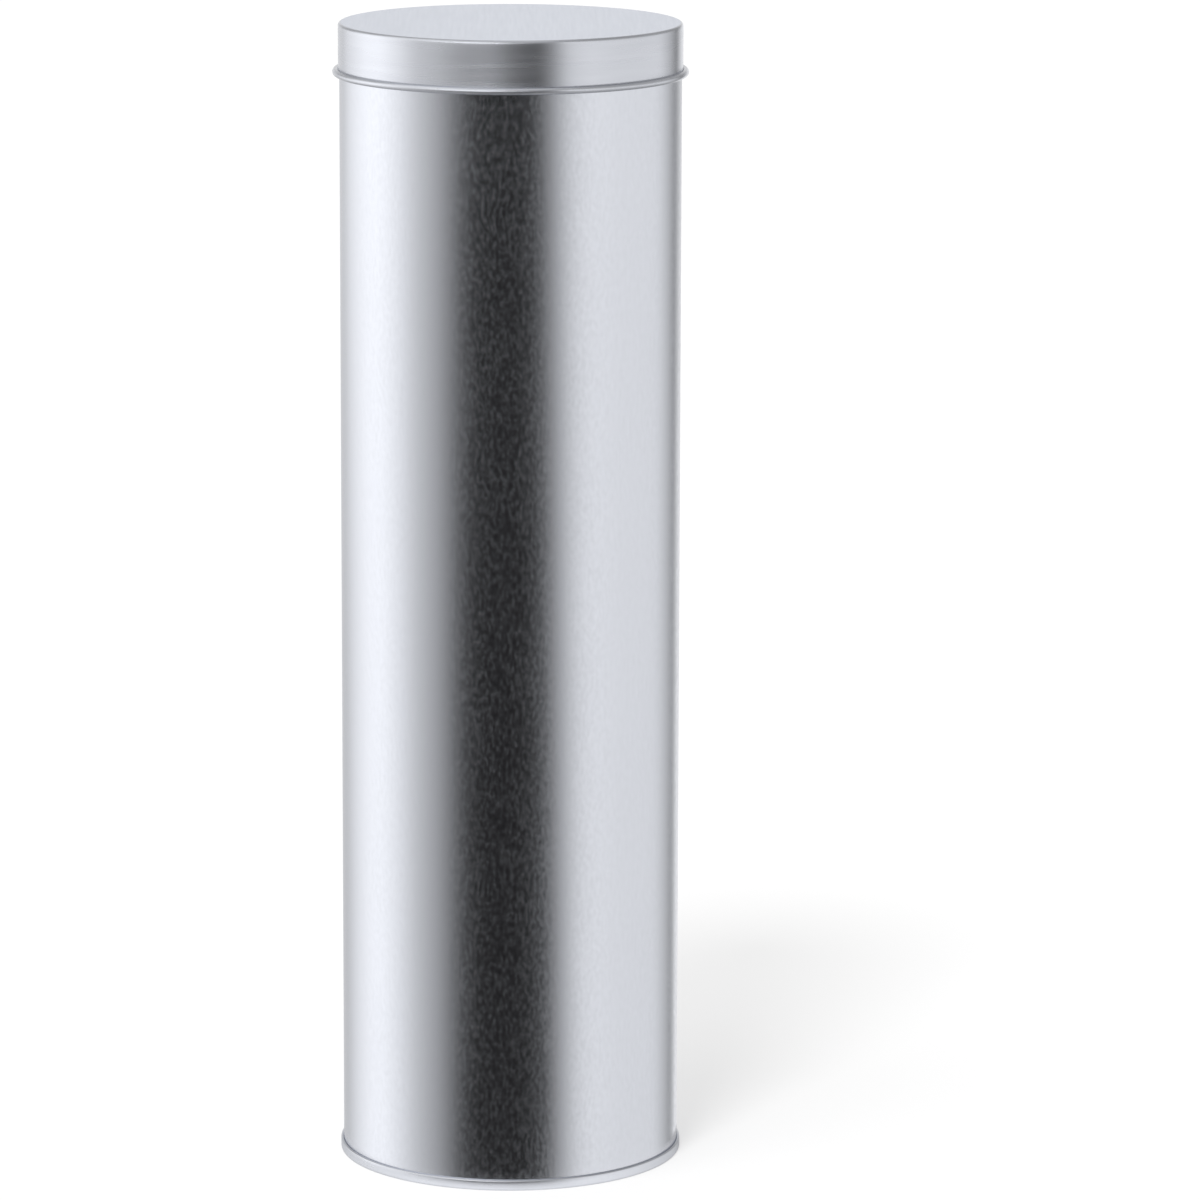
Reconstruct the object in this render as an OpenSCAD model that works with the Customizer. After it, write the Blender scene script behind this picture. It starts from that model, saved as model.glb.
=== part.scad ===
// Tall cylindrical tin for pens, with a slip lid. Millimetres, +Z up.
// The origin is the centre of the foot, on the surface that the tin stands on.
// Three pressed pieces of one tinplate sheet: a body wall rolled into a tube and locked along its back,
// a bottom end joined to it by a double seam, and a drawn lid that slips over the mouth.

/* [Body] */
// Outer diameter of the body wall
body_d = 65; // [50:0.5:85]
// Height of the closed tin, from the surface it stands on to the top of the lid
closed_h = 220; // [120:1:300]
// Thickness of the tinplate sheet
plate = 0.17; // [0.15:0.01:0.25]

/* [Mouth] */
// Width of the curl rolled inwards round the mouth
rim_curl_w = 1.3; // [1:0.1:1.5]
// Height of the curl rolled inwards round the mouth
rim_curl_h = 1.7; // [1.6:0.1:3]

/* [Side seam] */
// Width of the folded side seam, along the wall
side_seam_w = 3; // [2:0.1:3.4]
// How far the seam is flattened below the wall's round
side_seam_drop = 0.06; // [0.06:0.01:0.12]
// Width of the slope that brings the sheet back out to the wall beside the side seam
side_slope_w = 0.8; // [0.6:0.1:1.2]
// Plain lapped length left at each end of the side seam, clear of the curl and the double seam
side_seam_lap = 5; // [4:0.5:12]

/* [Lid] */
// Height of the lid, from the foot of its curl to its top
lid_h = 10; // [8:0.5:25]
// Radial clearance between the lid's skirt and the body wall
lid_clearance = 0.06; // [0.05:0.005:0.12]
// Gap left between the mouth's curl and the underside of the closed lid
lid_seat_gap = 0.05; // [0.02:0.01:0.1]
// Outer radius of the corner between the lid's top and its skirt
lid_corner_r = 0.6; // [0.4:0.05:1.5]
// Width of the curl rolled outwards round the lid's foot, from the skirt's inner face
lid_curl_w = 1.25; // [1:0.05:1.25]
// Height of the curl rolled outwards round the lid's foot
lid_curl_h = 1.3; // [1.3:0.05:3]

/* [Bottom end] */
// Height of the double seam round the foot
foot_seam_h = 2; // [1.9:0.1:3.5]
// Outer radius of the foot's two lower corners, with a flat between them to stand on
foot_corner_r = 0.3; // [0.27:0.01:0.36]
// Height of the recessed panel's top face above the surface the tin stands on
panel_top = 3.2; // [3:0.1:6]
// Outer radius of the corner where the panel meets its upright wall
panel_corner_r = 0.8; // [0.5:0.1:1.5]
// Distance from the panel's upright wall in to the stiffening step
panel_step_inset = 9; // [3:0.5:18]
// Width of the stiffening step's slope
panel_step_w = 1.2; // [0.8:0.1:3]
// Height that the middle of the panel is raised by
panel_step_h = 0.6; // [0.3:0.1:1.2]

/* [Sheet edges] */
// Gap between the edge of a curl and the wall that it is rolled against
curl_lip_gap = 0.08; // [0.04:0.01:0.15]
// Gap between the plies inside a seam
seam_gap = 0.01; // [0.005:0.005:0.03]
// Clearance past the end of each hook inside a seam
hook_clearance = 0.15; // [0.1:0.05:0.3]

/* [Hidden] */
$fn = 96;
overrun = 0.1;      // how far a shape runs past what it cuts, or into the sheet that it joins
tinplate = [0.80, 0.81, 0.84];
lacquered = [0.76, 0.77, 0.80];

body_r = body_d / 2;

// A fold wraps the sheet once round one other ply.
fold_out_r = (3 * plate + 2 * seam_gap) / 2;
fold_in_r = fold_out_r - plate;

// The double seam's five plies, counted outwards from the axis by their inner and outer faces
chuck_out = body_r - plate - seam_gap;
chuck_in = chuck_out - plate;
cover_hook_in = body_r + seam_gap;
body_hook_in = cover_hook_in + plate + seam_gap;
body_hook_out = body_hook_in + plate;
seaming_in = body_hook_out + seam_gap;
seaming_out = seaming_in + plate;
body_fold_z = plate + seam_gap + fold_out_r;        // centre of the fold at the wall's foot
cover_fold_z = foot_seam_h - fold_out_r;            // centre of the fold at the top of the seam

// The mouth sits just under the lid's top, and the lid's skirt slips over the wall.
mouth_z = closed_h - plate - lid_seat_gap;
lid_foot_z = closed_h - lid_h;
lid_in_r = body_r + lid_clearance;
lid_out_r = lid_in_r + plate;

// The side seam runs between two plain lapped lengths, up the back of the tin. Its four plies lie flat,
// and the innermost one slopes back out to the wall, which leaves a groove outside, beside the outer ply's fold.
side_from_z = foot_seam_h + side_seam_lap;
side_to_z = mouth_z - side_seam_lap;
side_half_w = side_seam_w / 2;
side_pitch = plate + seam_gap;
side_top_y = body_r - side_seam_drop;
side_inner_y = side_top_y - 3 * side_pitch;         // outer face of the innermost ply
flat_half_w = chord_half_w(side_top_y);
slope_in_x = side_half_w + fold_out_r + seam_gap;   // foot of the slope, on the innermost ply
slope_out_x = slope_in_x + side_slope_w;
slope_rise = (body_r - side_inner_y) / side_slope_w;
slope_t = plate * sqrt(1 + slope_rise * slope_rise);        // the sloping sheet, measured along y
slope_lap = (slope_t - plate) / slope_rise;
wall_end_x = slope_out_x - (body_r - chord_half_w(slope_out_x)) / slope_rise + slope_lap / 2;

step_out_r = chuck_in - panel_step_inset;
step_in_r = step_out_r - panel_step_w;

// Half the width of the chord that crosses the wall's outer face at a distance d from the axis
function chord_half_w(d) = sqrt(body_r * body_r - d * d);

// A flat oval that stands on the x axis with its left side on the y axis
module oval(w, h) {
    translate([w / 2, w / 2]) circle(d = w);
    translate([w / 2, h - w / 2]) circle(d = w);
    translate([0, w / 2]) square([w, h - w]);
}

// Section of a wall whose foot is rolled into a hollow curl towards +x, with the wall's plain face on the y axis
module curled_wall(w, h, wall_h) {
    difference() {
        oval(w, h);
        translate([plate, plate]) oval(w - 2 * plate, h - 2 * plate);
        translate([-overrun, h / 2]) square([overrun + plate + curl_lip_gap, h / 2 + overrun]);
    }
    translate([0, w / 2]) square([plate, wall_h - w / 2]);
}

// Section of a sheet that turns a quarter circle of outer radius r, in the quadrant of +x and +y,
// with a short straight tail at each end that runs into the flat sheet beyond
module bend(r) {
    intersection() {
        difference() {
            circle(r);
            circle(r - plate);
        }
        square(r + overrun);
    }
    translate([r - plate, -overrun]) square([plate, overrun]);
    translate([-overrun, r - plate]) square([overrun, plate]);
}

// Section of a sheet folded back on itself round one other ply, open towards +y
module fold() {
    difference() {
        circle(fold_out_r);
        circle(fold_in_r);
        translate([-fold_out_r - overrun, 0]) square([2 * (fold_out_r + overrun), fold_out_r + overrun]);
    }
}

// Ply i of the side seam in plan, counted inwards from the outer one, from x0 to x1
module ply(i, x0, x1) {
    translate([x0, side_top_y - i * side_pitch - plate]) square([x1 - x0, plate]);
}

// The slope in plan, from the innermost ply out to the wall
module slope() {
    intersection() {
        circle(body_r);
        polygon([
            [slope_in_x, side_inner_y], [slope_out_x, body_r], [slope_out_x, body_r - slope_t],
            [slope_in_x + slope_lap, side_inner_y - plate], [slope_in_x, side_inner_y - plate]
        ]);
    }
}

// The wall in plan, flattened over the side seam and cut away for its groove
module open_ring() {
    difference() {
        circle(body_r);
        circle(body_r - plate);
        translate([-flat_half_w - overrun, side_top_y]) square([2 * (flat_half_w + overrun), body_r]);
        translate([side_half_w, 0]) square([wall_end_x - side_half_w, body_r + overrun]);
    }
}

// The sheet in plan: once round the tin, then hooked into itself in four plies on the inside of the wall
module locked_sheet() {
    open_ring();
    intersection() {
        circle(body_r);
        ply(0, -flat_half_w - plate, side_half_w);
    }
    ply(1, -side_half_w, side_half_w - hook_clearance);
    ply(2, hook_clearance - side_half_w, side_half_w);
    ply(3, -side_half_w, slope_in_x + slope_lap / 2);
    slope();
    translate([side_half_w, side_top_y - fold_out_r]) rotate(90) fold();
    translate([-side_half_w, side_top_y - side_pitch - fold_out_r]) rotate(-90) fold();
}

// Section of the wall's foot, hooked outwards and up into the double seam
module wall_foot() {
    translate([body_r - plate + fold_out_r, body_fold_z]) fold();
    translate([body_r - plate, body_fold_z]) square([plate, side_from_z - body_fold_z]);
    translate([body_hook_in, body_fold_z]) square([plate, cover_fold_z - hook_clearance - body_fold_z]);
}

// Section of the wall's mouth, rolled inwards into a curl
module wall_mouth() {
    translate([body_r, mouth_z]) rotate(180) curled_wall(rim_curl_w, rim_curl_h, side_seam_lap);
}

module body_wall() {
    color(tinplate) {
        rotate_extrude() wall_foot();
        translate([0, 0, side_from_z]) linear_extrude(side_to_z - side_from_z) locked_sheet();
        rotate_extrude() wall_mouth();
    }
}

// Section of the rim that wraps the wall's foot, from inside the wall to behind the wall's hook
module end_rim() {
    cover_hook_z = body_fold_z + hook_clearance;
    translate([chuck_in, foot_corner_r]) square([plate, panel_top - panel_corner_r - foot_corner_r]);
    translate([chuck_in + foot_corner_r, foot_corner_r]) rotate(180) bend(foot_corner_r);
    translate([chuck_in + foot_corner_r, 0]) square([seaming_out - chuck_in - 2 * foot_corner_r, plate]);
    translate([seaming_out - foot_corner_r, foot_corner_r]) rotate(-90) bend(foot_corner_r);
    translate([seaming_in, foot_corner_r]) square([plate, cover_fold_z - foot_corner_r]);
    translate([cover_hook_in + fold_out_r, cover_fold_z]) rotate(180) fold();
    translate([cover_hook_in, cover_hook_z]) square([plate, cover_fold_z - cover_hook_z]);
}

// Section of the recessed panel, with its middle raised by a stiffening step
module end_panel() {
    corner_x = chuck_out - panel_corner_r;
    translate([corner_x, panel_top - panel_corner_r]) bend(panel_corner_r);
    translate([step_out_r, panel_top - plate]) square([corner_x - step_out_r, plate]);
    polygon([
        [step_out_r, panel_top - plate], [step_out_r, panel_top],
        [step_in_r, panel_top + panel_step_h], [step_in_r, panel_top + panel_step_h - plate]
    ]);
    translate([0, panel_top + panel_step_h - plate]) square([step_in_r, plate]);
}

module bottom_end() {
    color(lacquered) rotate_extrude() {
        end_rim();
        end_panel();
    }
}

module lid() {
    corner_x = lid_out_r - lid_corner_r;
    color(tinplate) rotate_extrude() {
        translate([lid_in_r, lid_foot_z]) curled_wall(lid_curl_w, lid_curl_h, lid_h - lid_corner_r);
        translate([corner_x, closed_h - lid_corner_r]) bend(lid_corner_r);
        translate([0, closed_h - plate]) square([corner_x, plate]);
    }
}

body_wall();
bottom_end();
lid();
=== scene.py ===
# Pen tin of bright tinplate: a rolled wall, a seamed bottom end and a slip lid, in its photo's studio.
import math
import bpy
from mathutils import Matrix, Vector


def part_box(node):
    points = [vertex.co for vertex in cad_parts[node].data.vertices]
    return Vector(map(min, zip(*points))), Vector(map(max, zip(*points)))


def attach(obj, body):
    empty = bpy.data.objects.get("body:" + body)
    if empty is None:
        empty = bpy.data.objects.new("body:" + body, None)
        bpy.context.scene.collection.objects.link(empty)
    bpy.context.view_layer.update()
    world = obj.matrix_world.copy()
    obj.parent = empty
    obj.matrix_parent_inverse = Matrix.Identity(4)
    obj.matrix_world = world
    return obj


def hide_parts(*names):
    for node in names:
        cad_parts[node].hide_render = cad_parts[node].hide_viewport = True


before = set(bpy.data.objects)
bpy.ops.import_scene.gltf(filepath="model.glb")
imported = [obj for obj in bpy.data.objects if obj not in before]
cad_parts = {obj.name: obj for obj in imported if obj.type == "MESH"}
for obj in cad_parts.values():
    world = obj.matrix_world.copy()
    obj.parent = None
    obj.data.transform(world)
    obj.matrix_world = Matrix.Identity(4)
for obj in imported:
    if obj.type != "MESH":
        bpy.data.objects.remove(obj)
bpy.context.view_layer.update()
mm = 0.001

# One sheet makes all three pieces. Each is drawn through the sheet's middle and thickened at the end.
sheet = {
    "thick": 0.17 * mm,
    "seamGap": 0.01 * mm,      # between the plies of a seam
    "lipGap": 0.08 * mm,       # between a curl's edge and the wall it is rolled against
    "hookGap": 0.15 * mm,      # past the end of a hook
    "columns": 256,            # round each piece
    "bendSteps": 8,            # in a quarter circle
    "foldSteps": 14,
    "easing": 0.35 * mm,       # from a bend to the next ring, so that the flat beyond shades flat
    "smoothBelow": 32,         # degrees
    "near": 0.01 * mm,         # two places closer than this are taken as one
    "weld": 0.001 * mm,
}
pitch = sheet["thick"] + sheet["seamGap"]      # from ply to ply in a seam, and a fold's middle radius
halfThick = sheet["thick"] / 2
foldOuter = pitch + halfThick
easing = sheet["easing"]
near = sheet["near"]

fit = {
    "foldedPlies": 3,          # plies of the foot's seam that lie outside the wall
    "lidClearance": 0.06 * mm,
    "lidSeatGap": 0.05 * mm,   # between the mouth's curl and the closed lid
}
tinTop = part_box("lid")[1].z
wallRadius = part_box("bottom_end")[1].x - fit["foldedPlies"] * pitch
wallMiddle = wallRadius - halfThick
mouthTop = tinTop - sheet["thick"] - fit["lidSeatGap"]


def bend(across, up, radius, start, end, steps=sheet["bendSteps"]):
    # Points round a bend in a section, in degrees from outwards
    turns = [math.radians(start + (end - start) * step / steps) for step in range(steps + 1)]
    return [(across + radius * math.cos(turn), up + radius * math.sin(turn)) for turn in turns]


def curlSection(wallAt, lipAt, width, height, side):
    # A curl from the wall's middle round to its own edge. side is 1 outwards and -1 inwards, and lipAt
    # is the end that the sheet turns at: the foot of the lid, or the mouth of the wall.
    radius = width / 2 - halfThick
    middle = wallAt + side * radius
    turnAt = lipAt + side * width / 2
    lipEnd = lipAt + side * (height - width / 2)
    lipReach = (sheet["thick"] + sheet["lipGap"] - width / 2) / radius
    lipTurn = math.degrees(math.acos(lipReach))
    if side > 0:
        return bend(middle, turnAt, radius, 180, 360) + bend(middle, lipEnd, radius, 0, lipTurn)
    return bend(middle, turnAt, radius, 0, 180) + bend(middle, lipEnd, radius, 180, 180 + lipTurn)


def startPiece(name):  # an empty mesh at the origin, in edit mode
    bpy.ops.object.select_all(action="DESELECT")
    bpy.ops.object.add(type="MESH", location=(0, 0, 0))
    piece = bpy.context.object
    piece.name = name
    bpy.ops.object.mode_set(mode="EDIT")
    bpy.ops.mesh.select_mode(type="EDGE")
    return piece


def drawRings(section):  # a circle at the section's first point, extruded and scaled from point to point
    radius, height = section[0]
    bpy.ops.mesh.select_all(action="DESELECT")
    bpy.ops.mesh.primitive_circle_add(vertices=sheet["columns"], radius=radius, location=(0, 0, height))
    for nextRadius, nextHeight in section[1:]:
        rise = nextHeight - height
        growth = nextRadius / radius
        bpy.ops.mesh.extrude_region_move(TRANSFORM_OT_translate={"value": (0, 0, rise)})
        bpy.ops.transform.resize(value=(growth, growth, 1), center_override=(0, 0, nextHeight))
        radius = nextRadius
        height = nextHeight


def drawAlong(plan):  # the selected upright edges, extruded sideways from point to point of the plan
    for (x, y), (nextX, nextY) in zip(plan, plan[1:]):
        move = (nextX - x, nextY - y, 0)
        bpy.ops.mesh.extrude_region_move(TRANSFORM_OT_translate={"value": move})


def pickEdges(piece, wanted):  # selects the edges whose two ends pass the test
    bpy.ops.mesh.select_all(action="DESELECT")
    bpy.ops.object.mode_set(mode="OBJECT")
    points = piece.data.vertices
    for edge in piece.data.edges:
        edge.select = wanted(points[edge.vertices[0]].co, points[edge.vertices[1]].co)
    bpy.ops.object.mode_set(mode="EDIT")


def weldPoints():
    bpy.ops.mesh.select_all(action="SELECT")
    bpy.ops.mesh.remove_doubles(threshold=sheet["weld"])


def finishPiece(piece, node, body):  # thickens the sheet and hands the piece to the frame
    weldPoints()
    bpy.ops.mesh.normals_make_consistent(inside=False)
    bpy.ops.object.mode_set(mode="OBJECT")
    skin = piece.modifiers.new("sheet", "SOLIDIFY")
    skin.thickness = sheet["thick"]
    skin.offset = 0
    skin.use_even_offset = True
    bpy.ops.object.modifier_apply(modifier=skin.name)
    bpy.ops.object.shade_smooth_by_angle(angle=math.radians(sheet["smoothBelow"]))
    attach(piece, body)
    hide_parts(node)
    print(piece.name, "made:", len(piece.data.polygons), "faces")


# Body wall: hooked into the foot's seam, locked up the back, and curled inwards at the mouth
wallShape = {
    "curlWidth": 1.3 * mm,
    "curlHeight": 1.7 * mm,
    "footSeamHeight": 2 * mm,
    "rows": 12,
}
sideSeam = {
    "width": 3 * mm,
    "drop": 0.06 * mm,         # flattened below the wall's round
    "slopeWidth": 0.8 * mm,
    "slopeRound": 0.2 * mm,
    "slopeSteps": 4,
    "slopeShift": 0.05 * mm,   # keeps the rounded slope clear of the outer ply's fold
    "lap": 5 * mm,             # plain length left above the foot's seam and below the mouth
    "endGap": 0.02 * mm,
    "leftColumns": 3,          # from the middle of the back to where the round wall ends
    "rightColumns": 4,
}


def drawWallRound(wall, seamFrom, seamTo, leftX, rightX):
    # The wall's hooked foot, the tube with a gap left up the back for the seam, and the curled mouth
    foldAt = pitch + foldOuter
    hookTop = wallShape["footSeamHeight"] - foldOuter - sheet["hookGap"]
    hook = bend(wallMiddle + pitch, foldAt, pitch, 360, 180, sheet["foldSteps"])
    foot = [(wallMiddle + 2 * pitch, hookTop)] + hook
    drawRings(foot + [(wallMiddle, foldAt + easing), (wallMiddle, seamFrom)])

    def besideSeam(a, b):  # the ring at the seam's foot, without the stretch that the seam takes
        behind = a.y > 0 and leftX < (a.x + b.x) / 2 < rightX
        return abs(a.z - seamFrom) < near and abs(b.z - seamFrom) < near and not behind

    pickEdges(wall, besideSeam)
    rows = wallShape["rows"]
    endGap = sideSeam["endGap"]
    rowHeight = (seamTo - seamFrom - 2 * endGap) / rows
    for rise in [endGap] + [rowHeight] * rows + [endGap]:
        bpy.ops.mesh.extrude_region_move(TRANSFORM_OT_translate={"value": (0, 0, rise)})
    curl = curlSection(wallMiddle, mouthTop, wallShape["curlWidth"], wallShape["curlHeight"], -1)
    drawRings(curl[::-1] + [(wallMiddle, curl[0][1] - easing), (wallMiddle, seamTo)])
    weldPoints()


def drawSideSeam(wall, seamFrom, seamTo, leftX, rightX):
    # The two sides of the sheet, hooked into each other in four flat plies on the inside of the wall
    def sideEdge(edgeX):  # the upright edge of the sheet at one side of the seam
        def wanted(a, b):
            upright = abs(a.x - edgeX) < near and abs(b.x - edgeX) < near and min(a.y, b.y) > 0
            inside = min(a.z, b.z) > seamFrom + near and max(a.z, b.z) < seamTo - near
            return upright and inside
        return wanted

    half = sideSeam["width"] / 2
    outerPly = wallRadius - sideSeam["drop"] - halfThick
    innerPly = outerPly - 3 * pitch
    flatFrom = math.sqrt(wallMiddle ** 2 - outerPly ** 2)
    leftY = math.sqrt(wallMiddle ** 2 - leftX ** 2)
    fold = bend(half, outerPly - pitch, pitch, 90, -90, sheet["foldSteps"])
    hookEnd = (sheet["hookGap"] - half, outerPly - 2 * pitch)
    pickEdges(wall, sideEdge(leftX))
    drawAlong([(leftX, leftY), (-flatFrom, outerPly), (0, outerPly)] + fold + [hookEnd])

    slopeIn = half + foldOuter + sheet["seamGap"] + sideSeam["slopeShift"]
    slopeOut = slopeIn + sideSeam["slopeWidth"]
    slopeTop = (slopeOut, math.sqrt(wallMiddle ** 2 - slopeOut ** 2))
    rightY = math.sqrt(wallMiddle ** 2 - rightX ** 2)
    fold = bend(-half, outerPly - 2 * pitch, pitch, 270, 90, sheet["foldSteps"])
    hookEnd = (half - sheet["hookGap"], outerPly - pitch)
    pickEdges(wall, sideEdge(rightX))
    drawAlong([(rightX, rightY), slopeTop, (slopeIn, innerPly), (0, innerPly)] + fold + [hookEnd])

    def slopeEdge(a, b):  # the two creases of the slope, to be rounded
        upright = abs(a.x - b.x) < near and abs(a.z - b.z) > near
        crease = min(abs(a.x - slopeIn), abs(a.x - slopeOut)) < near
        return upright and crease and a.y > innerPly - near

    pickEdges(wall, slopeEdge)
    bpy.ops.mesh.bevel(offset=sideSeam["slopeRound"], segments=sideSeam["slopeSteps"], affect="EDGES")


def makeWall():
    wall = startPiece("bodyWall")
    seamFrom = wallShape["footSeamHeight"] + sideSeam["lap"]
    seamTo = mouthTop - sideSeam["lap"]
    step = math.tau / sheet["columns"]
    leftX = -wallMiddle * math.sin(sideSeam["leftColumns"] * step)
    rightX = wallMiddle * math.sin(sideSeam["rightColumns"] * step)
    drawWallRound(wall, seamFrom, seamTo, leftX, rightX)
    drawSideSeam(wall, seamFrom, seamTo, leftX, rightX)
    finishPiece(wall, "body_wall", "tin")
    return wall


# Bottom end: a recessed panel with a stiffening step, and the rim that wraps the wall's hook
endShape = {
    "footRound": 0.3 * mm,
    "panelTop": 3.2 * mm,
    "panelRound": 0.8 * mm,
    "stepInset": 9 * mm,       # from the upright wall in to the step
    "stepWidth": 1.2 * mm,
    "stepRise": 0.6 * mm,
    "stepRound": 0.5 * mm,
    "stepSteps": 4,
    "poleRadius": 4 * mm,
}


def rimSection():  # from the hook inside the seam, over its top, round the foot and up inside the wall
    outer = wallMiddle + fit["foldedPlies"] * pitch
    inner = wallMiddle - pitch
    foldAt = wallShape["footSeamHeight"] - foldOuter
    hookEnd = pitch + foldOuter + sheet["hookGap"]
    footRound = endShape["footRound"]
    footBend = footRound - halfThick
    rim = [(wallMiddle + pitch, hookEnd)]
    rim += bend(wallMiddle + 2 * pitch, foldAt, pitch, 180, 0, sheet["foldSteps"])
    rim += [(outer, foldAt - easing), (outer, footRound + easing)]
    rim += bend(outer - footBend, footRound, footBend, 0, -90)
    rim += bend(inner + footBend, footRound, footBend, 270, 180)
    return rim + [(inner, footRound + easing)]


def panelSection():  # from the upright wall inside the foot in to the middle of the panel
    inner = wallMiddle - pitch
    panel = endShape["panelTop"] - halfThick
    panelBend = endShape["panelRound"] - halfThick
    edge = inner - panelBend
    stepOuter = inner - halfThick - endShape["stepInset"]
    stepInner = stepOuter - endShape["stepWidth"]
    slope = math.degrees(math.atan2(endShape["stepRise"], endShape["stepWidth"]))
    stepRound = endShape["stepRound"]
    stepSteps = endShape["stepSteps"]
    reach = stepRound * math.tan(math.radians(slope) / 2)
    middle = panel + endShape["stepRise"]
    section = [(inner, panel - panelBend - easing)]
    section += bend(edge, panel - panelBend, panelBend, 0, 90)
    section += [(edge - easing, panel), (stepOuter + reach + easing, panel)]
    section += bend(stepOuter + reach, panel + stepRound, stepRound, 270, 270 - slope, stepSteps)
    section += bend(stepInner - reach, middle - stepRound, stepRound, 90 - slope, 90, stepSteps)
    return section + [(stepInner - reach - easing, middle), (endShape["poleRadius"], middle)]


def makeEnd():
    end = startPiece("bottomEnd")
    drawRings(rimSection() + panelSection())
    bpy.ops.mesh.merge(type="CENTER")
    finishPiece(end, "bottom_end", "tin")
    return end


# Slip lid: a flat top, a skirt that slides over the wall, and a curl rolled outwards round its foot
lidShape = {
    "height": 10 * mm,
    "cornerRound": 0.6 * mm,
    "curlWidth": 1.25 * mm,
    "curlHeight": 1.3 * mm,
    "poleRadius": 4 * mm,
}
lidFoot = tinTop - lidShape["height"]


def makeLid():
    lid = startPiece("slipLid")
    skirt = wallRadius + fit["lidClearance"] + halfThick
    top = tinTop - halfThick
    cornerBend = lidShape["cornerRound"] - halfThick
    cornerAt = skirt - cornerBend
    curl = curlSection(skirt, lidFoot, lidShape["curlWidth"], lidShape["curlHeight"], 1)
    corner = bend(cornerAt, top - cornerBend, cornerBend, 0, 90)
    section = curl[::-1] + [(skirt, curl[0][1] + easing), (skirt, corner[0][1] - easing)]
    section += corner + [(cornerAt - easing, top), (lidShape["poleRadius"], top)]
    drawRings(section)
    bpy.ops.mesh.merge(type="CENTER")
    finishPiece(lid, "lid", "lid")
    return lid


wall = makeWall()
end = makeEnd()
lid = makeLid()


# Finishes. A grain is noise drawn out along one direction, in object coordinates, so it stays on the
# metal. Grains, patches and waves are given as so many to the metre each way. Painted shade bands are
# heights where shade is painted into the tone, along creases and edges, with how far each reaches and
# the share of its tone that the metal keeps there.
wallFinish = {
    "name": "tinplateWall",
    "metallic": 1,
    "tone": (0.85, 0.872, 0.935, 1),
    "streakTone": (0.84, 0.862, 0.925, 1),
    "edgeTone": (1, 1, 1, 1),      # the tint seen at a glancing angle
    "roughness": (0.182, 0.263),   # between the streaks and on them
    "anisotropy": 0.45,
    "turn": 0,                     # blurs round the wall
    "grain": (1650, 1650, 860),
    "grainHeight": 0.0025 * mm,
    "patch": (150, 150, 60),       # where the streaks gather
    "wave": (16, 16, 9),
    "waveHeight": 0.12 * mm,
    # Painted shade: the tone is darkened along the crease where the wall meets the foot's seam
    "paintedShadeBands": [{"at": wallShape["footSeamHeight"], "reach": 0.5 * mm, "keeps": 0.92}],
}
skirtFinish = {
    "name": "tinplateSkirt",
    "metallic": 1,
    "tone": (0.85, 0.872, 0.935, 1),
    "streakTone": (0.843, 0.865, 0.928, 1),
    "edgeTone": (1, 1, 1, 1),
    "roughness": (0.245, 0.29),
    "anisotropy": 0.9,
    "turn": 0.25,                  # a quarter turn, so that the skirt blurs up and down
    "grain": (50, 50, 850),
    "grainHeight": 0.0005 * mm,
    "patch": (60, 60, 200),
    "wave": (20, 20, 60),
    "waveHeight": 0.03 * mm,
    # Painted shade: darker along the crease above the curl and on the curl's underside, and over the
    # lid's top corner, where it dims the corner's highlight
    "paintedShadeBands": [
        {"at": lidFoot + lidShape["curlHeight"], "reach": 0.16 * mm, "keeps": 0.65},
        {"at": lidFoot, "reach": 0.9 * mm, "keeps": 0.78},
        {"at": tinTop, "reach": 0.5 * mm, "keeps": 0.86},
    ],
}
flatFinish = {                 # for the top of the lid and the underside of the panel
    "name": "tinplateFlat",
    "metallic": 1,
    "tone": (0.84, 0.866, 0.93, 1),
    "streakTone": (0.83, 0.857, 0.922, 1),
    "edgeTone": (0.95, 0.965, 1, 1),
    "roughness": (0.24, 0.27),
    "anisotropy": 0,
    "turn": 0,
    "grain": (1500, 60, 60),
    "grainHeight": 0.001 * mm,
    "patch": (60, 60, 60),
    "wave": (20, 20, 20),
    "waveHeight": 0.03 * mm,
    "paintedShadeBands": [],
}
endFinish = {
    "name": "tinplateEnd",
    "metallic": 1,
    "tone": (0.83, 0.85, 0.905, 1),
    "streakTone": (0.79, 0.81, 0.865, 1),
    "edgeTone": (1, 1, 1, 1),
    "roughness": (0.26, 0.34),
    "anisotropy": 0,
    "turn": 0,
    "grain": (90, 90, 1100),
    "grainHeight": 0.001 * mm,
    "patch": (90, 90, 90),
    "wave": (20, 20, 20),
    "waveHeight": 0.04 * mm,
    # Painted shade: darker along the crease at the top of the foot's seam, and a painted contact shadow
    # along the foot's bottom edge
    "paintedShadeBands": [
        {"at": wallShape["footSeamHeight"], "reach": 0.35 * mm, "keeps": 0.92},
        {"at": 0, "reach": 0.5 * mm, "keeps": 0.75},
    ],
}
insideFinish = {               # the inside of all three pieces, under a thin clear lacquer
    "name": "tinplateInside",
    "metallic": 0.55,
    "tone": (0.8, 0.815, 0.85, 1),
    "streakTone": (0.77, 0.785, 0.82, 1),
    "edgeTone": (1, 1, 1, 1),
    "roughness": (0.3, 0.38),
    "anisotropy": 0,
    "turn": 0,
    "grain": (900, 900, 120),
    "grainHeight": 0.001 * mm,
    "patch": (90, 90, 60),
    "wave": (20, 20, 12),
    "waveHeight": 0.06 * mm,
    "paintedShadeBands": [],
}
grainMix = {
    "detail": 1,
    "patchShare": 0.14,        # how far the patches move the streaks' level
    "lowest": 0.28,            # noise at and below this is between the streaks
    "highest": 0.72,           # and at and above this is on them
}


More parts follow.
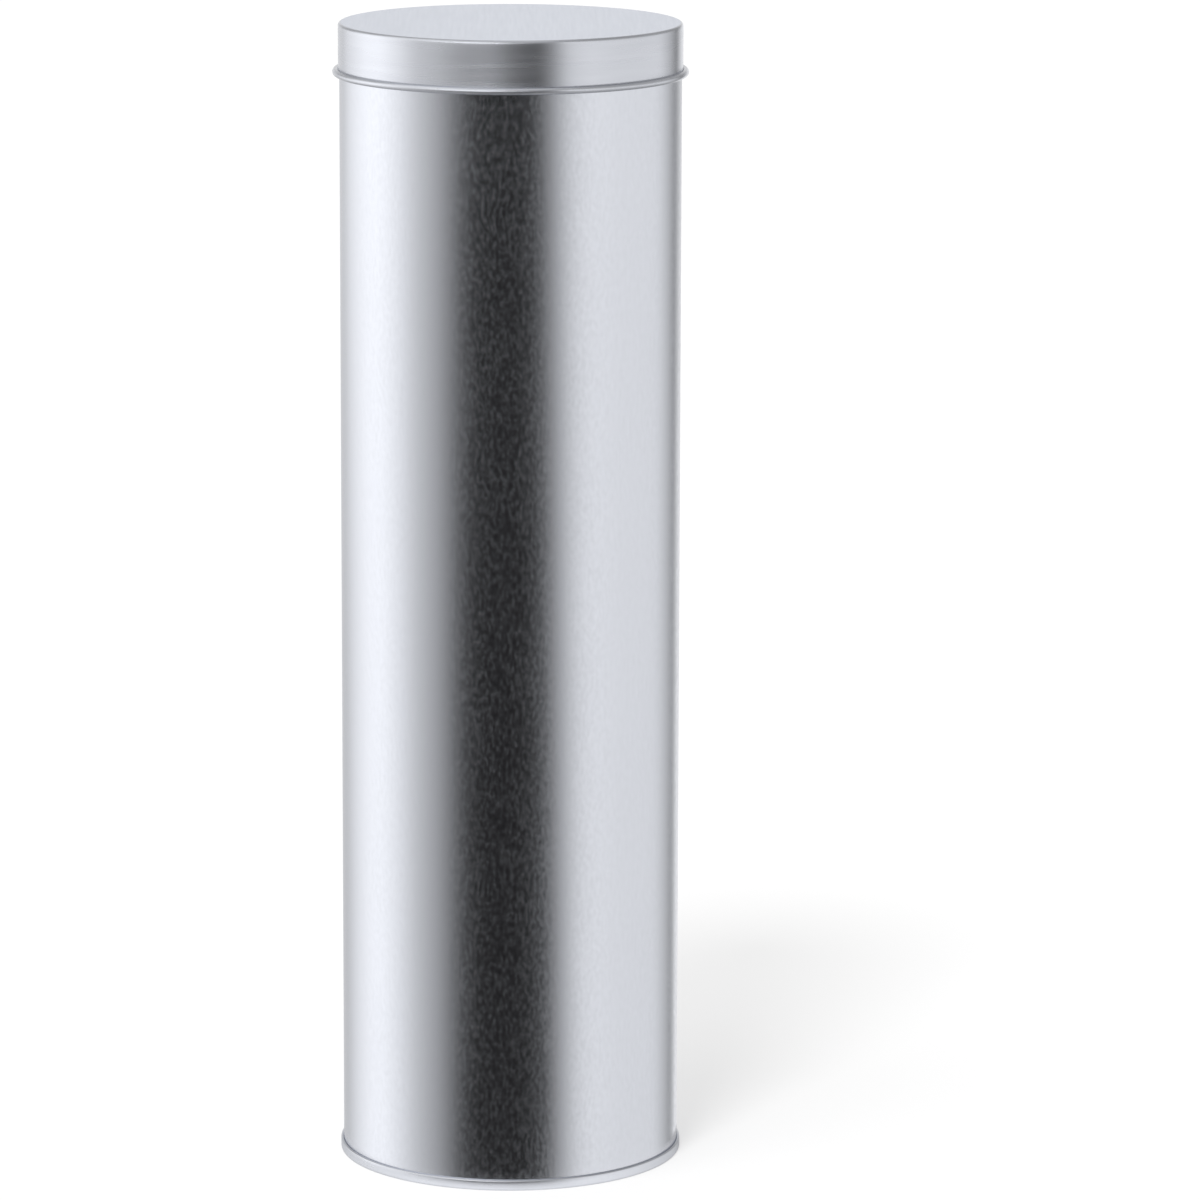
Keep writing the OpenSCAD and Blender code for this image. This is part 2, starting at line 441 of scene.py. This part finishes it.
def grainNoise(tree, scales):
    coords = tree.nodes.new("ShaderNodeTexCoord")
    stretch = tree.nodes.new("ShaderNodeMapping")
    stretch.inputs["Scale"].default_value = scales
    noise = tree.nodes.new("ShaderNodeTexNoise")
    noise.inputs["Scale"].default_value = 1
    noise.inputs["Detail"].default_value = grainMix["detail"]
    tree.links.new(coords.outputs["Object"], stretch.inputs["Vector"])
    tree.links.new(stretch.outputs["Vector"], noise.inputs["Vector"])
    return noise.outputs["Fac"]


def doMath(tree, operation, first, second):  # second is a number or a socket
    step = tree.nodes.new("ShaderNodeMath")
    step.operation = operation
    tree.links.new(first, step.inputs[0])
    if isinstance(second, (int, float)):
        step.inputs[1].default_value = second
    else:
        tree.links.new(second, step.inputs[1])
    return step.outputs[0]


def mapRange(tree, value, start, end, low, high, smooth=False):
    spread = tree.nodes.new("ShaderNodeMapRange")
    spread.interpolation_type = "SMOOTHSTEP" if smooth else "LINEAR"
    spread.inputs["From Min"].default_value = start
    spread.inputs["From Max"].default_value = end
    spread.inputs["To Min"].default_value = low
    spread.inputs["To Max"].default_value = high
    tree.links.new(value, spread.inputs["Value"])
    return spread.outputs["Result"]


def blendColours(tree, share, first, second):  # each colour is a value or a socket
    mix = tree.nodes.new("ShaderNodeMix")
    mix.data_type = "RGBA"
    tree.links.new(share, mix.inputs["Factor"])
    for socket, colour in zip(mix.inputs[6:8], (first, second)):  # the two colour sockets
        if isinstance(colour, tuple):
            socket.default_value = colour
        else:
            tree.links.new(colour, socket)
    return mix.outputs[2]


def raiseGrain(tree, height, amount, under=None):  # bump, on top of another one if there is one
    bump = tree.nodes.new("ShaderNodeBump")
    bump.inputs["Strength"].default_value = 1
    bump.inputs["Distance"].default_value = amount
    tree.links.new(height, bump.inputs["Height"])
    if under is not None:
        tree.links.new(under, bump.inputs["Normal"])
    return bump.outputs["Normal"]


# The mask of a band of painted shade along a crease or edge
def inPaintedShadeBand(tree, height, reach):  # 1 at the crease, falling to 0 at its reach above and below
    coords = tree.nodes.new("ShaderNodeTexCoord")
    parts = tree.nodes.new("ShaderNodeSeparateXYZ")
    tree.links.new(coords.outputs["Object"], parts.inputs["Vector"])
    away = doMath(tree, "SUBTRACT", parts.outputs["Z"], height)
    away = doMath(tree, "ABSOLUTE", away, 0)
    return mapRange(tree, away, 0, reach, 1, 0, smooth=True)


def tinFinish(look):
    material = bpy.data.materials.new(look["name"])
    material.use_nodes = True
    tree = material.node_tree
    shader = tree.nodes["Principled BSDF"]
    shader.inputs["Metallic"].default_value = look["metallic"]
    shader.inputs["Anisotropic"].default_value = look["anisotropy"]
    shader.inputs["Anisotropic Rotation"].default_value = look["turn"]
    shader.inputs["Specular Tint"].default_value = look["edgeTone"]
    streaks = grainNoise(tree, look["grain"])
    patches = grainNoise(tree, look["patch"])
    gathered = doMath(tree, "MULTIPLY", patches, grainMix["patchShare"])
    gathered = doMath(tree, "ADD", gathered, streaks)
    level = doMath(tree, "SUBTRACT", gathered, grainMix["patchShare"] / 2)
    level = mapRange(tree, level, grainMix["lowest"], grainMix["highest"], 0, 1)
    roughness = mapRange(tree, level, 0, 1, look["roughness"][0], look["roughness"][1])
    tree.links.new(roughness, shader.inputs["Roughness"])
    tone = blendColours(tree, level, look["tone"], look["streakTone"])
    # Painted shade: the tone is darkened in each band, standing in for the shade that falls along
    # creases and edges
    for crease in look["paintedShadeBands"]:
        paintedShadeTone = tuple(channel * crease["keeps"] for channel in look["tone"][:3]) + (1,)
        tone = blendColours(tree, inPaintedShadeBand(tree, crease["at"], crease["reach"]), tone, paintedShadeTone)
    tree.links.new(tone, shader.inputs["Base Color"])
    waves = grainNoise(tree, look["wave"])
    normal = raiseGrain(tree, waves, look["waveHeight"])
    normal = raiseGrain(tree, streaks, look["grainHeight"], normal)
    tree.links.new(normal, shader.inputs["Normal"])
    return material


# A face's share of up, down or inwards from which it counts as facing that way
facing = {
    "partly": 0.1,
    "mostly": 0.5,
    "fully": 0.99,
}


def facesAxis(face):  # true for an upright face that looks inwards
    outwards = face.normal.x * face.center.x + face.normal.y * face.center.y
    return outwards < -facing["mostly"] * wallRadius


def facesUp(face):
    return face.normal.z > facing["partly"]


def facesDown(face):
    return face.normal.z < -facing["partly"]


def finishFaces(piece, finish, wanted):
    piece.data.materials.append(finish)
    for face in piece.data.polygons:
        if wanted(face):
            face.material_index = len(piece.data.materials) - 1


wall.data.materials.append(tinFinish(wallFinish))
end.data.materials.append(tinFinish(endFinish))
lid.data.materials.append(tinFinish(skirtFinish))
flatMetal = tinFinish(flatFinish)
insideMetal = tinFinish(insideFinish)
mouthCurl = mouthTop - wallShape["curlHeight"]
panelCorner = endShape["panelTop"] - endShape["panelRound"]
lidCorner = tinTop - lidShape["cornerRound"]
finishFaces(wall, insideMetal, lambda face: facesAxis(face) and face.center.z < mouthCurl)
finishFaces(end, flatMetal, lambda face: facesDown(face) and face.center.z > panelCorner)
finishFaces(end, insideMetal, lambda face: facesUp(face) and face.center.z > panelCorner)
finishFaces(lid, flatMetal, lambda face: face.normal.z > facing["fully"] and face.center.z > lidCorner)
finishFaces(lid, insideMetal, facesAxis)
finishFaces(lid, insideMetal, lambda face: facesDown(face) and face.center.z > lidCorner)
print("finishes set")


# Studio: white all round, with soft grey cards that only the metal sees
studio = {
    # Rings of cards, from the floor up, each with its brightness by azimuth, in degrees from the front
    # round to the right. Each ring takes over from the one below between its two elevations.
    "rings": [
        {
            "stops": [(-180, 0.46), (-150, 0.34), (-112, 0.52), (-70, 0.4), (-42, 0.3), (-24, 0.24),
                      (12, 0.24), (30, 0.32), (54, 0.44), (112, 0.44), (142, 0.32), (162, 0.46),
                      (180, 0.46)],
        },
        {
            "from": -60,
            "to": -42,
            "stops": [(-180, 0.55), (-150, 0.38), (-112, 0.6), (-70, 0.42), (-42, 0.3), (-24, 0.2),
                      (12, 0.2), (30, 0.32), (54, 0.45), (112, 0.44), (142, 0.34), (162, 0.55),
                      (180, 0.55)],
        },
        {
            "from": -31,
            "to": -18,
            "stops": [(-180, 0.88), (-163, 0.62), (-150, 0.54), (-130, 0.83), (-113, 1.04), (-98, 1.07),
                      (-82, 0.86), (-66, 0.56), (-50, 0.35), (-38, 0.105), (-30, 0.024), (-20, 0.009),
                      (10, 0.009), (25, 0.033), (46, 0.73), (58, 0.84), (80, 0.78), (118, 0.76),
                      (134, 0.5), (146, 0.22), (156, 0.92), (170, 1), (180, 0.88)],
        },
        {
            "from": -14,
            "to": -5,
            "stops": [(-180, 0.88), (-163, 0.68), (-150, 0.65), (-140, 0.87), (-130, 0.99), (-113, 1.15),
                      (-98, 1.17), (-82, 0.98), (-66, 0.65), (-50, 0.42), (-37, 0.16), (-28, 0.042),
                      (-20, 0.016), (6, 0.017), (18, 0.05), (39, 0.74), (54, 0.86), (80, 0.81),
                      (118, 0.79), (134, 0.5), (146, 0.18), (156, 0.62), (170, 0.9), (180, 0.88)],
        },
        {
            "from": 1,
            "to": 11,
            "stops": [(-180, 0.83), (-165, 0.55), (-150, 0.38), (-138, 0.42), (-114, 1.02), (-100, 1.06),
                      (-66, 0.8), (-50, 1.18), (-35, 1.72), (-21, 1.98), (-12, 1.74), (0, 0.88),
                      (10, 0.47), (18, 0.26), (28, 0.28), (38, 0.93), (50, 0.76), (66, 0.59),
                      (102, 0.42), (120, 0.38), (142, 0.3), (158, 0.3), (172, 0.64), (180, 0.83)],
        },
        {
            "from": 17,
            "to": 34,
            "stops": [(-180, 0.6), (-165, 0.45), (-122, 0.4), (-104, 0.85), (-60, 0.78), (-38, 0.68),
                      (-12, 0.62), (0, 0.46), (14, 0.4), (60, 0.32), (110, 0.3), (165, 0.45),
                      (180, 0.6)],
        },
    ],
    "zenith": 0.62,            # brightness straight up
    "zenithFrom": 60,
    "zenithTo": 78,
    "fill": 0.6,               # plain white light on everything else
}


def grey(level):
    return (level, level, level, 1)


def cardRing(tree, azimuth, stops):  # a colour ramp, which has its own stops for -180 and 180 degrees
    ramp = tree.nodes.new("ShaderNodeValToRGB")
    elements = ramp.color_ramp.elements
    for degrees, bright in stops[1:-1]:
        element = elements.new((degrees + 180) / 360)
        element.color = grey(bright)
    elements[0].color = grey(stops[0][1])
    elements[-1].color = grey(stops[-1][1])
    tree.links.new(azimuth, ramp.inputs["Fac"])
    return ramp.outputs["Color"]


def byElevation(tree, height, start, end):  # 0 below one elevation and 1 above the other
    low = math.sin(math.radians(start))
    high = math.sin(math.radians(end))
    return mapRange(tree, height, low, high, 0, 1, smooth=True)


def makeStudio():
    world = bpy.data.worlds.new("studio")
    bpy.context.scene.world = world
    world.use_nodes = True
    tree = world.node_tree
    fill = tree.nodes["Background"]
    fill.inputs["Color"].default_value = grey(1)
    fill.inputs["Strength"].default_value = studio["fill"]
    backdrop = tree.nodes.new("ShaderNodeBackground")
    backdrop.inputs["Color"].default_value = grey(1)
    coords = tree.nodes.new("ShaderNodeTexCoord")
    parts = tree.nodes.new("ShaderNodeSeparateXYZ")
    tree.links.new(coords.outputs["Generated"], parts.inputs["Vector"])
    front = doMath(tree, "MULTIPLY", parts.outputs["Y"], -1)
    angle = doMath(tree, "ARCTAN2", parts.outputs["X"], front)
    azimuth = mapRange(tree, angle, -math.pi, math.pi, 0, 1)
    height = parts.outputs["Z"]
    tones = cardRing(tree, azimuth, studio["rings"][0]["stops"])
    for ring in studio["rings"][1:]:
        above = byElevation(tree, height, ring["from"], ring["to"])
        tones = blendColours(tree, above, tones, cardRing(tree, azimuth, ring["stops"]))
    overhead = byElevation(tree, height, studio["zenithFrom"], studio["zenithTo"])
    tones = blendColours(tree, overhead, tones, grey(studio["zenith"]))
    cards = tree.nodes.new("ShaderNodeBackground")
    tree.links.new(tones, cards.inputs["Color"])
    rays = tree.nodes.new("ShaderNodeLightPath")
    seen = tree.nodes.new("ShaderNodeMixShader")
    tree.links.new(rays.outputs["Is Camera Ray"], seen.inputs["Fac"])
    tree.links.new(fill.outputs["Background"], seen.inputs[1])
    tree.links.new(backdrop.outputs["Background"], seen.inputs[2])
    mirrored = tree.nodes.new("ShaderNodeMixShader")
    tree.links.new(rays.outputs["Is Glossy Ray"], mirrored.inputs["Fac"])
    tree.links.new(seen.outputs["Shader"], mirrored.inputs[1])
    tree.links.new(cards.outputs["Background"], mirrored.inputs[2])
    tree.links.new(mirrored.outputs["Shader"], tree.nodes["World Output"].inputs["Surface"])


makeStudio()

# Floor: white paper that keeps the tin's shadow. The metal mirrors it only close to the foot, and from
# underneath it is clear, so that the bottom end can be seen.
floorLook = {
    "size": 12,
    "tone": 0.45,
    "glow": 0.543,
    "mirroredFrom": 32.6 * mm,     # from the tin's axis
    "mirroredFull": 36.7 * mm,     # fading from here outwards
    "mirroredTo": 38.2 * mm,
    # Painted shade: by this share, the floor's glow as the metal mirrors it is dimmed towards the tin's
    # sides
    "dimBeside": 0.75,             # the share of the glow that the metal misses beside the tin
}


def makeFloor():
    bpy.ops.object.select_all(action="DESELECT")
    bpy.ops.mesh.primitive_plane_add(size=floorLook["size"], location=(0, 0, 0))
    floor = bpy.context.object
    floor.name = "floor"
    paint = bpy.data.materials.new("floorPaint")
    paint.use_nodes = True
    paint.cycles.emission_sampling = "NONE"
    tree = paint.node_tree
    tree.nodes.remove(tree.nodes["Principled BSDF"])
    matte = tree.nodes.new("ShaderNodeBsdfDiffuse")
    matte.inputs["Color"].default_value = grey(floorLook["tone"])
    glow = tree.nodes.new("ShaderNodeEmission")
    paper = tree.nodes.new("ShaderNodeAddShader")
    tree.links.new(matte.outputs["BSDF"], paper.inputs[0])
    tree.links.new(glow.outputs["Emission"], paper.inputs[1])
    clear = tree.nodes.new("ShaderNodeBsdfTransparent")
    coords = tree.nodes.new("ShaderNodeTexCoord")
    fromAxis = tree.nodes.new("ShaderNodeVectorMath")
    fromAxis.operation = "LENGTH"
    tree.links.new(coords.outputs["Object"], fromAxis.inputs[0])
    distance = fromAxis.outputs["Value"]
    inside = doMath(tree, "LESS_THAN", distance, floorLook["mirroredFrom"])
    outwards = mapRange(tree, distance, floorLook["mirroredFull"], floorLook["mirroredTo"], 0, 1)
    parts = tree.nodes.new("ShaderNodeSeparateXYZ")
    tree.links.new(coords.outputs["Object"], parts.inputs["Vector"])
    # Painted shade in the floor's reflection: darker towards the tin's sides, for glossy rays only
    beside = mapRange(tree, parts.outputs["Y"], -floorLook["mirroredFull"], 0, 0, floorLook["dimBeside"])
    rays = tree.nodes.new("ShaderNodeLightPath")
    mirrored = rays.outputs["Is Glossy Ray"]
    unseen = doMath(tree, "MULTIPLY", mirrored, doMath(tree, "MAXIMUM", inside, outwards))
    dimmed = doMath(tree, "MULTIPLY", mirrored, beside)
    tree.links.new(mapRange(tree, dimmed, 0, 1, floorLook["glow"], 0), glow.inputs["Strength"])
    side = tree.nodes.new("ShaderNodeNewGeometry")
    choose = tree.nodes.new("ShaderNodeMixShader")
    tree.links.new(doMath(tree, "MAXIMUM", unseen, side.outputs["Backfacing"]), choose.inputs["Fac"])
    tree.links.new(paper.outputs["Shader"], choose.inputs[1])
    tree.links.new(clear.outputs["BSDF"], choose.inputs[2])
    tree.links.new(choose.outputs["Shader"], tree.nodes["Material Output"].inputs["Surface"])
    floor.data.materials.append(paint)


makeFloor()

# Soft key lights, for the shadow alone: the metal sees only the cards. In degrees: across the light,
# down from overhead, and from behind the camera round to the left.
keyLights = [
    {"strength": 1.45, "across": 14.6, "tilt": 38, "turn": -19},
    {"strength": 0.45, "across": 20, "tilt": 22, "turn": -47},
]
for key in keyLights:
    keyTurn = (math.radians(key["tilt"]), 0, math.radians(key["turn"]))
    bpy.ops.object.light_add(type="SUN", rotation=keyTurn)
    lamp = bpy.context.object
    lamp.data.energy = key["strength"]
    lamp.data.angle = math.radians(key["across"])
    lamp.visible_glossy = False

# Camera, in front of the tin and a little above it
shot = {
    "distance": 1250 * mm,
    "height": 355.1 * mm,
    "down": 11.162,            # degrees, as are the next two
    "right": 0.757,
    "roll": -0.165,
    "lens": 198.48,            # in camera millimetres, as is the sensor
    "sensor": 36,
}
place = (0, -shot["distance"], shot["height"])
cameraTurn = (math.radians(90 - shot["down"]), math.radians(shot["roll"]), -math.radians(shot["right"]))
bpy.ops.object.camera_add(location=place, rotation=cameraTurn)
camera = bpy.context.object
camera.data.lens = shot["lens"]
camera.data.sensor_width = shot["sensor"]
bpy.context.scene.camera = camera
bpy.context.scene.view_settings.view_transform = "Standard"
print("studio set")
